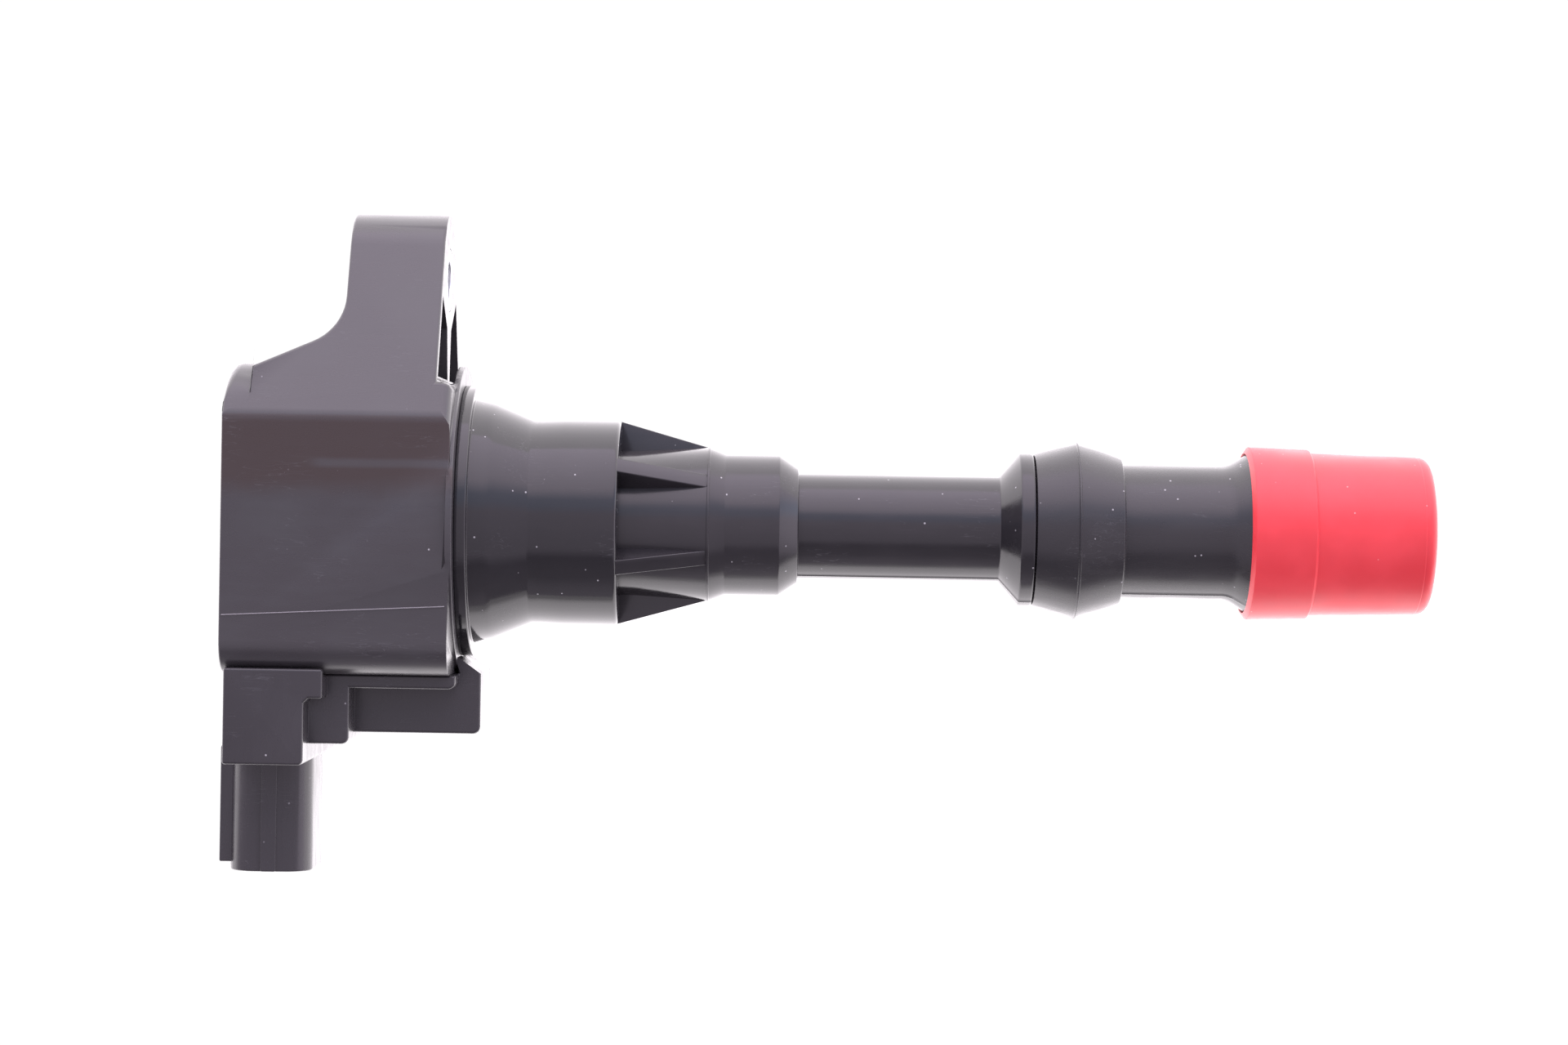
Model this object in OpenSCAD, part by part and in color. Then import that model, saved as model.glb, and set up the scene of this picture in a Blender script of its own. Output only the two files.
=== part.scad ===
// Plug-top ignition coil with a potted head, a bolt ear, a side connector,
// a finned extension tube and a two-part plug boot.
// The coil axis is X, the mouth of the boot is at X = 0 and the head is at -X.
// The bolt ear points to +Y and the connector to -Y.

/* [Overall] */
// Length from the open top of the head to the mouth of the boot
coil_length = 180; // [176:1:190]
// Roundness of turned surfaces
fine = 96; // [48:8:128]

/* [Head] */
// Depth of the head along the coil axis
head_depth = 33.9; // [33:0.1:36]
// Half of the head's width, across the flat sides
head_z = 22.2; // [22:0.1:24]
// Half of the head's height, from the axis to the ear side
head_y = 22.9; // [22.9:0.1:24]
// Radius of the two long corners on the connector side
head_corner = 5; // [3:0.5:5]
// Wall between the ear side and the potting
ear_side_wall = 3.7; // [3.5:0.1:4]
// Wall of the other sides
head_wall = 2; // [1.8:0.1:2]
// Thickness of the head's floor
head_floor = 3.4; // [3:0.1:3.4]
// Radius of the round collar plate
collar_r = 23.4; // [23.4:0.1:24]
// Depth of the rim that stands ahead of the ear's gusset
rim_depth = 3.9; // [3:0.1:4]

/* [Bolt ear] */
// Distance from the coil axis to the bolt
ear_y = 36.5; // [36:0.5:38]
// Radius of the ear's tip
ear_r = 9.8; // [9:0.1:10]
// Thickness of the ear
ear_thick = 14.2; // [13:0.1:14.5]
// Distance from the head's open top to the ear's top face
ear_drop = 16.8; // [16.5:0.1:18]
// Height at which the side faces start to lean in
facet_y = 15.1; // [14:0.1:16]
// Slope of the gusset that braces the ear
gusset_angle = 24.3; // [20:0.1:26]
// Radius where the gusset meets the ear
gusset_fillet = 7.5; // [3:0.5:8]
// Radius of the bolt hole
bolt_r = 3.3; // [3.2:0.05:3.4]
// Wall of the steel sleeve in the ear
sleeve_wall = 1.5; // [1:0.1:1.8]
// Depth of the two pockets in the ear's underside
pocket_depth = 9; // [6:0.5:10]

/* [Connector] */
// Reach of the connector's mouth from the coil axis
plug_reach = 53; // [52:0.5:56]
// Outer width of the oval shroud
shroud_w = 12.4; // [11.9:0.1:12.6]
// Radius of the oval shroud's corners
shroud_corner = 4.2; // [3:0.1:5.5]
// Outer length of the oval shroud
shroud_l = 18; // [18:0.5:20]
// Wall of the shroud
shroud_wall = 1.15; // [1:0.05:1.2]
// Depth of the socket inside the shroud
socket_depth = 14.5; // [13:0.5:15]
// Distance between terminal pins
pin_pitch = 4.5; // [4.2:0.1:4.6]
// Thickness of a terminal pin
pin_t = 0.6; // [0.5:0.1:0.8]
// Width of a terminal pin
pin_w = 2; // [1.5:0.1:2.2]

/* [Well seal] */
// Radius of the seal's flange
flange_r = 20.5; // [20:0.1:21]
// Thickness of the seal's flange
flange_t = 1.8; // [1.5:0.1:2]
// Radius of the part of the seal that fills the plug well
well_r = 15.65; // [15.5:0.05:16]
// Length of the seal
seal_len = 23.7; // [23.7:0.1:25]

/* [Extension tube] */
// Radius of the tube's core behind the fins
core_r = 11.05; // [10.9:0.05:11.3]
// Thickness of a fin
fin_t = 2.4; // [2:0.1:2.8]
// Length of a fin
fin_len = 14.25; // [13:0.25:15]
// Number of fins
fin_count = 6; // [4:1:8]
// Turn of the first fin from the ear's direction
fin_turn = -4.4; // [-20:0.1:20]
// Radius of the long shaft
shaft_r = 8; // [7.5:0.1:8.5]

/* [Plug boot] */
// Length of the black boot that shows
boot_len = 31.85; // [31:0.05:34]
// Radius of the boot's sharp ridge
ridge_r = 13.5; // [13:0.1:14]
// Radius of the boot's straight part
boot_r = 10.1; // [10:0.1:10.5]
// Length of the red tip
tip_len = 28; // [27.5:0.1:29]
// Radius of the red collar
tip_collar_r = 13.1; // [13:0.1:13.5]
// Radius of the red tip at its mouth
tip_mouth_r = 11.9; // [11.5:0.1:12]
// Radius of the bore that grips the spark plug
plug_r = 5.1; // [5:0.05:5.3]
// Depth to which the spark plug goes in
plug_depth = 34; // [32:0.5:35]

/* [High voltage path] */
// Radius of the channel for the contact spring
channel_r = 3.6; // [3.5:0.05:3.8]
// Travel of the plug contact
contact_travel = 4.5; // [3:0.5:4.5]
// Turns of the contact spring
spring_turns = 8; // [6:1:8]
// Wire diameter of the contact spring
spring_wire = 0.7; // [0.6:0.05:0.8]

/* [Windings] */
// Side of the square centre core
core_side = 7; // [6.5:0.1:7]
// Half length of the bobbins
bobbin_half = 12.5; // [12:0.1:12.5]
// Radius of the secondary bobbin's flanges
bobbin_r = 10.2; // [10:0.1:10.2]
// Number of chambers in the secondary bobbin
chambers = 6; // [4:1:8]

/* [Hidden] */

$fn = fine;
cut = 1;                                   // extra length of a cutting tool

// Stations along the axis
top_x = -coil_length;
gusset_x = top_x + rim_depth;
ear_top_x = top_x + ear_drop;
ear_under_x = ear_top_x + ear_thick;
floor_x = top_x + head_depth - head_floor;
collar_x = top_x + head_depth;
collar_t = 1;
seal_end_x = collar_x + seal_len;
fin_x = seal_end_x - 0.9;                  // fins start inside the seal's lip
fin_end_x = fin_x + fin_len;
sleeve_len = 13.65;                        // stepped sleeve between the fins and the shaft
shaft_x = fin_end_x + sleeve_len;
boot_x = -(tip_len + boot_len);
step_x = boot_x + 13.4;                    // end of the boot's ridge
tip_x = -tip_len;
potting_x = top_x + 1.4;                   // the resin stands a little below the rim

// Head
step_y = 20.3;                             // where the ear's underside steps to the collar
facet_angle = atan2(head_z, ear_y - facet_y)
    - asin(ear_r / norm([ear_y - facet_y, head_z]));
cavity_top = head_y - ear_side_wall;
cavity_bottom = -(head_y - head_wall);
cavity_z = head_z - head_wall;
cavity_corner = 7;
rim_corner = 10.4;                         // radius of the rim's corners on the ear side
neck_r = 8.9;                              // spigot that carries the extension tube
neck_x = collar_x + 15.1;
neck_bore = 4.2;
terminal_r = 2.4;
rib_half = 1.5;

// Connector
shroud_x = top_x + 6;
rail_x = top_x - 1.75;
wide_x = top_x + 0.7;                      // outer face of the connector's blocks
wide_end_x = top_x + 15.25;
wide_z = 21.5;
mid_z = 15.7;
tab_z = 8.8;
tab_x = collar_x + 3.5;
block_y = -36.2;
pin_inner_y = -18.7;
tongue_z = 7;
tongue_half = 2.6;

// Joint between the neck and the extension tube
socket_x = collar_x + 2.6;
gasket_t = 1.8;

// High voltage path
resistor_x = neck_x - 8.5;
resistor_len = 22;
cap_r = 3.4;
rod_r = 1.5;
tube_bore = 2;
spigot_r = 6.4;
spigot_end_x = boot_x + 5.6;
seat_t = 1.2;
contact_len = 4.5;
contact_r = 3.3;
spring_x = spigot_end_x + seat_t;
spring_solid = (spring_turns + 1) * spring_wire;
spring_reserve = 1;                        // what the spring keeps at full travel
contact_x = spring_x + spring_solid + contact_travel + spring_reserve;
spring_r = 2.4;                            // radius of the wire's centre line
rod_end_x = spigot_end_x + 0.6;

// Windings
wind_x = top_x + 16.2;
wind_y = 2.5;
ring_half_y = 15;
ring_half_z = 17.5;
ring_leg = 4.5;
ring_height = 10;
magnet_t = 1.5;
primary_in = 5.7;
primary_out = 6.9;
secondary_in = 7.1;
secondary_core = 7.9;
winding_r = 9.8;

// Igniter
module_x = top_x + 8;
module_l = 16;
module_w = 18;
module_y = -18.3;
module_t = 4;
plate_t = 1.2;
lead_w = 1.2;

// Colours
black = "#262528";
black_2 = "#2e2c2f";
rubber = "#1f1e20";
red = "#e8455b";
steel = "#b9bcc0";
brass = "#c9a54b";
copper = "#b4673a";
resin = "#3a3432";

// Points on an arc about c from angle a0 to a1
function arc(c, r, a0, a1, n = 10) =
    [for (i = [0 : n]) c + r * [cos(a0 + (a1 - a0) * i / n), sin(a0 + (a1 - a0) * i / n)]];

// An outline that is the same on both sides of its first axis
function both_sides(half) =
    concat(half, [for (i = [len(half) - 1 : -1 : 0]) [half[i][0], -half[i][1]]]);

// A flat shape in Y and Z, pulled along X from x0 to x1
module pull_x(x0, x1) {
    translate([x0, 0, 0])
        rotate([90, 0, 90])
            linear_extrude(height = x1 - x0) children();
}

// A flat shape in radius and X, turned about the coil axis
module turn_x() {
    rotate([0, 90, 0]) rotate_extrude() children();
}

// A bar of radius r on the coil axis
module bar_x(r, x0, x1) {
    translate([x0, 0, 0]) rotate([0, 90, 0]) cylinder(r = r, h = x1 - x0);
}

// A block given by its lowest and highest corners
module block(low, high) {
    translate(low) cube(high - low);
}

// ---------------------------------------------------------------- head

// Section of the head where the ear and its gusset grow out of it
module ear_section() {
    lower = arc([-head_y + head_corner, head_z - head_corner], head_corner, 180, 90);
    tip = arc([ear_y, 0], ear_r, 90 - facet_angle, 0);
    half = concat(lower, [[facet_y, head_z]], [for (i = [0 : len(tip) - 2]) tip[i]]);
    polygon(concat(half, [[ear_y + ear_r, 0]],
        [for (i = [len(half) - 1 : -1 : 0]) [half[i][0], -half[i][1]]]));
}

// Section of the rim ahead of the gusset
module rim_section() {
    centre_y = head_y - rim_corner;
    centre_z = head_z + ((facet_y - centre_y) * sin(facet_angle) - rim_corner) / cos(facet_angle);
    polygon(both_sides(concat(
        arc([-head_y + head_corner, head_z - head_corner], head_corner, 180, 90),
        [[facet_y, head_z]],
        arc([centre_y, centre_z], rim_corner, 90 - facet_angle, 0))));
}

// Side view of the head, the gusset and the ear
module side_view() {
    centre_x = ear_top_x - gusset_fillet;
    centre_y = head_y - 0.5 + (centre_x - gusset_x) * tan(gusset_angle)
        + gusset_fillet / cos(gusset_angle);
    blend = arc([centre_x, centre_y], gusset_fillet, gusset_angle - 90, 0);
    polygon(concat(
        [[gusset_x, -head_y - cut], [gusset_x, head_y - 0.5]],
        blend,
        [[ear_top_x, ear_y + ear_r + cut], [ear_under_x, ear_y + ear_r + cut],
         [ear_under_x, step_y], [collar_x - collar_t / 2, step_y],
         [collar_x - collar_t / 2, -head_y - cut]]));
}

// One of the two pockets beside the ear's central rib
module ear_pocket_section() {
    wall = 1.8;
    low_y = 21.2;
    high_y = ear_y - 3;
    lean = tan(facet_angle);
    drop = wall / cos(facet_angle);
    polygon([[low_y, rib_half], [low_y, head_z - (low_y - facet_y) * lean - drop],
        [high_y, head_z - (high_y - facet_y) * lean - drop],
        [ear_y - 7.5, rib_half + 1.6]]);
}

// The space that the potting fills
module cavity_section() {
    corner = 3;
    polygon(both_sides(concat(
        arc([cavity_bottom + corner, cavity_z - corner], corner, 180, 90),
        arc([cavity_top - cavity_corner, cavity_z - cavity_corner], cavity_corner, 90, 0))));
}

module coil_case() {
    color(black) difference() {
        union() {
            intersection() {
                pull_x(gusset_x, collar_x) ear_section();
                linear_extrude(height = 3 * head_z, center = true) side_view();
            }
            pull_x(top_x, gusset_x) rim_section();
            bar_x(collar_r, collar_x - collar_t, collar_x);
            bar_x(neck_r, collar_x - collar_t, neck_x);
        }
        pull_x(top_x - cut, floor_x) cavity_section();
        for (side = [0, 1]) mirror([0, 0, side])
            pull_x(ear_under_x - pocket_depth, ear_under_x + cut) ear_pocket_section();
        translate([0, ear_y, 0]) bar_x(bolt_r + sleeve_wall, ear_top_x - cut, ear_under_x + cut);
        bar_x(terminal_r, floor_x - cut, neck_x);
        bar_x(neck_bore, resistor_x - 1, neck_x + cut);
        block([shroud_x - tongue_half, -head_y - cut, -tongue_z],
              [shroud_x + tongue_half, cavity_bottom + cut, tongue_z]);
    }
}

module bolt_sleeve() {
    color(steel) translate([0, ear_y, 0]) difference() {
        bar_x(bolt_r + sleeve_wall, ear_top_x, ear_under_x);
        bar_x(bolt_r, ear_top_x - cut, ear_under_x + cut);
    }
}

// ----------------------------------------------------------- connector

// Oval section of the shroud in X and Z, a wall's thickness inside the outer one
module oval(wall) {
    w = shroud_w - 2 * wall;
    l = shroud_l - 2 * wall;
    r = shroud_corner - wall;
    union() {
        for (i = [-1, 1], j = [-1, 1]) translate([i * (w / 2 - r), j * (l / 2 - r)]) circle(r = r);
        square([w, l - 2 * r], center = true);
        square([w - 2 * r, l], center = true);
    }
}

// A flat shape in X and Z about the shroud's centre, pulled down from y1 to y0
module pull_down(y1, y0) {
    translate([shroud_x, y1, 0])
        rotate([90, 0, 0])
            linear_extrude(height = y1 - y0) children();
}

// Outline of the widest block, in X and Y
module wide_block_view() {
    low_end_x = wide_end_x - 2.7;
    polygon(concat([[wide_x, -head_y], [wide_end_x, -head_y], [wide_end_x, -26.4],
        [low_end_x + 0.65, -26.4], [low_end_x, -27.05]],
        arc([low_end_x - 0.8, block_y + 0.8], 0.8, 0, -90, 4), [[wide_x, block_y]]));
}

// Outline of the middle block with its ledge
module mid_block_view() {
    r = 1;
    ledge_x = collar_x + 0.3;
    ledge_y = -25;
    mid_x = top_x + 18.55;
    mid_y = -33.3;
    polygon(concat([[top_x + 6, -head_y], [ledge_x, -head_y]],
        arc([ledge_x - r, ledge_y + r], r, 0, -90, 4), [[mid_x, ledge_y]],
        arc([mid_x - r, mid_y + r], r, 0, -90, 4), [[top_x + 6, mid_y]]));
}

// Outline of the locating tab that passes the collar
module tab_view() {
    r = 1;
    tab_y = -31.9;
    tab_start_x = wide_end_x - 0.5;
    polygon(concat([[tab_start_x, -head_y], [collar_x, -head_y], [collar_x, -20.4],
        [tab_x, -head_y]],
        arc([tab_x - r, tab_y + r], r, 0, -90, 4), [[tab_start_x, tab_y]]));
}

module terminal_slots() {
    for (i = [-1 : 1])
        block([shroud_x - pin_t / 2, block_y - cut - 2, i * pin_pitch - pin_w / 2],
              [shroud_x + pin_t / 2, cavity_bottom + cut, i * pin_pitch + pin_w / 2]);
}

module connector_housing() {
    rail_z = 5.5;
    color(black_2) difference() {
        union() {
            linear_extrude(height = 2 * wide_z, center = true) wide_block_view();
            linear_extrude(height = 2 * mid_z, center = true) mid_block_view();
            linear_extrude(height = 2 * tab_z, center = true) tab_view();
            for (side = [0, 1]) mirror([0, 0, side])
                block([wide_x, -head_y - cut, wide_z - 1.3], [wide_end_x, -22, wide_z]);
            block([shroud_x - tongue_half, -head_y - cut, -tongue_z],
                  [shroud_x + tongue_half, cavity_bottom, tongue_z]);
            pull_down(block_y + 2, -plug_reach) oval(0);
            pull_down(block_y, -plug_reach) square([2.3, shroud_l + 0.6], center = true);
            for (side = [-1, 1])
                block([rail_x, -plug_reach + 1.2, side * rail_z - 0.8],
                      [rail_x + 2.5, block_y + 2, side * rail_z + 0.8]);
            block([rail_x + 0.6, -46.5, -2.2], [rail_x + 2.5, -43.5, 2.2]);
        }
        pull_down(-plug_reach + socket_depth, -plug_reach - cut) oval(shroud_wall);
        terminal_slots();
        bar_x(collar_r + 0.02, collar_x - collar_t - 0.02, collar_x + 0.01);
        bar_x(flange_r + 0.2, collar_x - cut, collar_x + flange_t + 0.2);
    }
}

// A flat terminal blade at station i across the connector
module terminal_pin(i) {
    color(brass)
        block([shroud_x - pin_t / 2, -plug_reach + 5.5, i * pin_pitch - pin_w / 2],
              [shroud_x + pin_t / 2, pin_inner_y, i * pin_pitch + pin_w / 2]);
}

module power_pin() {
    terminal_pin(1);
}

module ground_pin() {
    terminal_pin(0);
}

module trigger_pin() {
    terminal_pin(-1);
}

// ------------------------------------------------- windings and igniter

// A bar along Z on the winding's axis
module wind_bar(r, half) {
    translate([wind_x, wind_y, 0]) cylinder(r = r, h = 2 * half, center = true);
}

// A block centred on the winding's axis
module wind_block(size) {
    translate([wind_x, wind_y, 0]) cube(size, center = true);
}

module centre_core() {
    inner = ring_half_z - ring_leg;
    color("#77797d")
        translate([wind_x, wind_y, -magnet_t / 2])
            cube([core_side, core_side, 2 * inner - magnet_t], center = true);
}

module bias_magnet() {
    inner = ring_half_z - ring_leg;
    color("#4a4c52")
        translate([wind_x, wind_y, inner - magnet_t / 2])
            cube([core_side, core_side, magnet_t], center = true);
}

module ring_core() {
    color("#77797d") difference() {
        wind_block([ring_height, 2 * ring_half_y, 2 * ring_half_z]);
        wind_block([ring_height + cut, 2 * (ring_half_y - ring_leg), 2 * (ring_half_z - ring_leg)]);
    }
}

module primary_bobbin() {
    flange = 1;
    color("#d8cfb8") difference() {
        union() {
            wind_bar(primary_in, bobbin_half);
            for (side = [-1, 1])
                translate([0, 0, side * (bobbin_half - flange / 2)])
                    wind_bar(primary_out + 0.1, flange / 2);
        }
        wind_block([core_side + 0.1, core_side + 0.1, 2 * bobbin_half + cut]);
    }
}

module primary_winding() {
    half = bobbin_half - 1;
    color(copper) difference() {
        wind_bar(primary_out, half);
        wind_bar(primary_in, half + cut);
    }
}

module secondary_bobbin() {
    wall = 0.8;
    pitch = (2 * bobbin_half - wall) / chambers;
    color("#e3dcc6") difference() {
        union() {
            wind_bar(secondary_core, bobbin_half);
            for (i = [0 : chambers])
                translate([0, 0, -bobbin_half + wall / 2 + i * pitch])
                    wind_bar(bobbin_r, wall / 2);
        }
        wind_bar(secondary_in, bobbin_half + cut);
    }
}

module secondary_winding() {
    wall = 0.8;
    pitch = (2 * bobbin_half - wall) / chambers;
    color("#c07a48")
        for (i = [0 : chambers - 1])
            translate([0, 0, -bobbin_half + wall / 2 + (i + 0.5) * pitch]) difference() {
                wind_bar(winding_r, (pitch - wall) / 2);
                wind_bar(secondary_core, (pitch - wall) / 2 + cut);
            }
}

module igniter_module() {
    color("#303236")
        block([module_x, module_y, -module_w / 2],
              [module_x + module_l, module_y + module_t, module_w / 2]);
}

module heat_plate() {
    margin = 1;
    color("#c4c7cb")
        block([module_x - margin, module_y + module_t, -module_w / 2 - margin],
              [module_x + module_l + margin, module_y + module_t + plate_t,
               module_w / 2 + margin]);
}

module igniter_leads() {
    lead_y = module_y + module_t / 2;
    color(steel) for (i = [-1 : 1]) {
        z = i * pin_pitch;
        union() {
            block([shroud_x - pin_t / 2, lead_y - pin_t / 2, z - lead_w / 2],
                  [module_x, lead_y + pin_t / 2, z + lead_w / 2]);
            block([shroud_x - pin_t / 2, pin_inner_y, z - lead_w / 2],
                  [shroud_x + pin_t / 2, lead_y + pin_t / 2, z + lead_w / 2]);
        }
    }
}

module hv_diode() {
    diode_x = floor_x - 2.1;
    lead_r = 0.35;
    color("#1c1c1e") union() {
        translate([diode_x, 0, -12]) cylinder(r = 1.2, h = 7);
        translate([diode_x, 0, -14]) cylinder(r = lead_r, h = 13.5);
        translate([diode_x, 0, -1]) rotate([0, 90, 0]) cylinder(r = lead_r, h = 1.1);
    }
}

module hv_terminal() {
    color(brass) union() {
        bar_x(3.2, floor_x - 1, floor_x);
        bar_x(terminal_r, floor_x - 1, resistor_x - 1);
    }
}

// Room for everything that the resin is poured round
module potted_parts() {
    wind_block([ring_height, 2 * ring_half_y, 2 * ring_half_z]);
    wind_bar(bobbin_r, bobbin_half);
    block([module_x, module_y, -module_w / 2],
          [module_x + module_l, module_y + module_t, module_w / 2]);
    heat_plate();
    igniter_leads();
    power_pin();
    ground_pin();
    trigger_pin();
    hv_diode();
    bar_x(3.2, floor_x - 1, floor_x);
}

module potting() {
    color(resin) difference() {
        pull_x(potting_x, floor_x) cavity_section();
        potted_parts();
    }
}

// ------------------------------------------- seal and extension tube

// The fins of the extension tube
module fins() {
    root = core_r - 0.8;
    for (i = [0 : fin_count - 1])
        rotate([fin_turn + i * 360 / fin_count, 0, 0])
            linear_extrude(height = fin_t, center = true)
                polygon([[fin_x, root], [fin_x, well_r - 0.05],
                    [fin_end_x, core_r + 0.55], [fin_end_x, root]]);
}

module well_seal() {
    x0 = collar_x;
    waist_r = well_r - 0.15;
    color(rubber) difference() {
        turn_x() polygon(concat(
            [[neck_r, x0], [flange_r, x0], [flange_r, x0 + flange_t],
             [18.5, x0 + flange_t], [18.2, x0 + 3.5], [17.55, x0 + 5.5],
             [16.7, x0 + 7.9], [15.85, x0 + 10], [waist_r, x0 + 10.8],
             [waist_r, x0 + 11.8], [well_r, x0 + 15.1]],
            arc([well_r - 1, seal_end_x - 1], 1, 0, 90, 5),
            [[core_r, seal_end_x], [core_r, socket_x], [neck_r, socket_x]]));
        fins();
    }
}

module joint_gasket() {
    color("#8d4b3a") difference() {
        bar_x(neck_r - 0.1, neck_x, neck_x + gasket_t);
        bar_x(neck_bore + 0.2, neck_x - cut, neck_x + gasket_t + cut);
    }
}

module extension_tube() {
    rim_r = 11.7;
    throat_x = resistor_x + resistor_len + 3;
    color(black) difference() {
        union() {
            turn_x() polygon([[0, socket_x], [core_r, socket_x], [core_r, seal_end_x],
                [11.7, fin_end_x - 0.15], [11.74, fin_end_x + 0.25],
                [10.75, fin_end_x + 2.6], [10.75, fin_end_x + 10.7],
                [8.8, shaft_x - 0.1], [shaft_r, shaft_x], [shaft_r, boot_x - 5.25],
                [rim_r, boot_x - 2.2], [rim_r, boot_x - 0.5], [rim_r - 0.5, boot_x],
                [spigot_r, boot_x], [spigot_r, spigot_end_x], [0, spigot_end_x]]);
            fins();
        }
        bar_x(neck_r, socket_x - cut, neck_x + gasket_t);
        bar_x(neck_bore, neck_x, throat_x);
        bar_x(tube_bore, throat_x - cut, spigot_end_x + cut);
    }
}

// ------------------------------------------------- high voltage path

module resistor_body() {
    color("#e6e0d2") bar_x(3, resistor_x + 2, resistor_x + resistor_len - 2);
}

module resistor_caps() {
    color(brass) for (x = [resistor_x - 1, resistor_x + resistor_len - 3]) difference() {
        bar_x(cap_r, x, x + 4);
        bar_x(3, max(x, resistor_x + 2), min(x + 4, resistor_x + resistor_len - 2));
    }
}

module hv_rod() {
    color(steel) bar_x(rod_r, resistor_x + resistor_len + 1, rod_end_x);
}

module spring_seat() {
    color(brass) difference() {
        bar_x(cap_r, spigot_end_x, spigot_end_x + seat_t);
        bar_x(rod_r, spigot_end_x - cut, rod_end_x);
    }
}

// A round wire wound on the coil axis from x0 to x1
module wire_coil(r, wire, turns, x0, x1) {
    sides = 8;
    steps = turns * 18;
    pitch = (x1 - x0 - wire) / steps;
    points = [for (i = [0 : steps], j = [0 : sides - 1])
        let (turn = i * 360 * turns / steps, swing = j * 360 / sides,
             rr = r + wire / 2 * cos(swing))
        [x0 + wire / 2 + i * pitch + wire / 2 * sin(swing), rr * cos(turn), rr * sin(turn)]];
    ring = [for (j = [0 : sides - 1]) j];
    walls = [for (i = [0 : steps - 1], j = [0 : sides - 1])
        let (a = i * sides + j, b = i * sides + (j + 1) % sides)
        [a, b, b + sides, a + sides]];
    last = [for (j = [sides - 1 : -1 : 0]) steps * sides + j];
    polyhedron(points = points, faces = concat([ring], [for (f = walls) [f[3], f[2], f[1], f[0]]],
        [last]), convexity = 10);
}

module contact_spring() {
    gap = 0.02;
    color(steel) wire_coil(spring_r, spring_wire, spring_turns,
        spring_x + gap, contact_x - gap);
}

module plug_contact() {
    cup = 1.4;
    color(brass) difference() {
        union() {
            bar_x(contact_r, contact_x, contact_x + 1.2);
            bar_x(2.7, contact_x, contact_x + contact_len);
            bar_x(contact_r, contact_x + contact_len - 1.6, contact_x + contact_len);
        }
        bar_x(1.9, contact_x + contact_len - cup, contact_x + contact_len + cut);
    }
}

// ---------------------------------------------------------- plug boot

module plug_boot() {
    end_x = tip_x + 8.5;
    flare = arc([boot_r + 4.6, tip_x - 3.2], 4.6, 180, 124, 6);
    color(rubber) turn_x() polygon(concat(
        [[spigot_r, boot_x], [11.5, boot_x], [ridge_r - 0.25, boot_x + 6.15],
         [ridge_r, boot_x + 6.4], [ridge_r - 0.25, boot_x + 6.65], [11.1, step_x - 0.1],
         [boot_r, step_x]],
        flare,
        [[11.9, tip_x + 0.8], [11.9, end_x], [plug_r, end_x], [plug_r, -plug_depth],
         [channel_r, -plug_depth], [channel_r, spigot_end_x], [spigot_r, spigot_end_x]]));
}

module boot_tip() {
    end_x = tip_x + 8.5;
    tip_round = 1.5;
    color(red) turn_x() polygon(concat(
        [[plug_r, end_x], [11.9, end_x], [11.9, tip_x + 0.8], [12.6, tip_x],
         [tip_collar_r, tip_x + 0.3], [12.8, tip_x + 9.7], [12.25, tip_x + 10.1]],
        arc([tip_mouth_r - tip_round, -tip_round], tip_round, 0, 90, 6),
        [[plug_r, 0]]));
}

coil_case();
connector_housing();
power_pin();
ground_pin();
trigger_pin();
bolt_sleeve();
potting();
centre_core();
ring_core();
bias_magnet();
primary_bobbin();
primary_winding();
secondary_bobbin();
secondary_winding();
igniter_module();
heat_plate();
igniter_leads();
hv_diode();
hv_terminal();
well_seal();
joint_gasket();
extension_tube();
resistor_body();
resistor_caps();
hv_rod();
spring_seat();
contact_spring();
plug_contact();
plug_boot();
boot_tip();
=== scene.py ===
# Looks of a plug-top ignition coil: a potted head with a bolt ear and a side
# connector, a rubber well seal, a finned extension tube and a two-part boot.
# Shapes are worked out in millimetres about the coil axis, which is X.
import math
import bmesh
import bpy
from mathutils import Matrix, Vector


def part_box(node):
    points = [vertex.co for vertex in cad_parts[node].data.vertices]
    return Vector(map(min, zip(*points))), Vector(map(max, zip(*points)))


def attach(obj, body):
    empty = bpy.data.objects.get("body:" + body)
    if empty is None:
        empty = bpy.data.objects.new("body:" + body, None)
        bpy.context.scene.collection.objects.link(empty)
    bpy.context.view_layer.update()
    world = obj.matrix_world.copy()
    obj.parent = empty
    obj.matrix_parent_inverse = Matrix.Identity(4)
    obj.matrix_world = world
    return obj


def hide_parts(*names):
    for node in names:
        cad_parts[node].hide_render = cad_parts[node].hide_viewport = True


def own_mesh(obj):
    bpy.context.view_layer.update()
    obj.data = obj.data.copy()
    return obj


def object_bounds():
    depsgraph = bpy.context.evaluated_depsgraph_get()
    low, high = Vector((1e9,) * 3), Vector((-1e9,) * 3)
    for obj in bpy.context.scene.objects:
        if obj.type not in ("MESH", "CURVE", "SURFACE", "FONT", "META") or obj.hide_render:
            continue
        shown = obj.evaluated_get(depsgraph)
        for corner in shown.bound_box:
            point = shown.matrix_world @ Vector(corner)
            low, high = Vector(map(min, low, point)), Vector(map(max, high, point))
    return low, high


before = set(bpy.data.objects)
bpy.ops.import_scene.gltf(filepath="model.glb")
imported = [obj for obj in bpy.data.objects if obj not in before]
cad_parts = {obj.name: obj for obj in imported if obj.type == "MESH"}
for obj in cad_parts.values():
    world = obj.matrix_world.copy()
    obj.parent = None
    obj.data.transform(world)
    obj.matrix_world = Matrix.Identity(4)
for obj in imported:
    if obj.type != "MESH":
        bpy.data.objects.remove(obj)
cad_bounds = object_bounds()

MM = 0.001
TURN = 2 * math.pi


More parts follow.
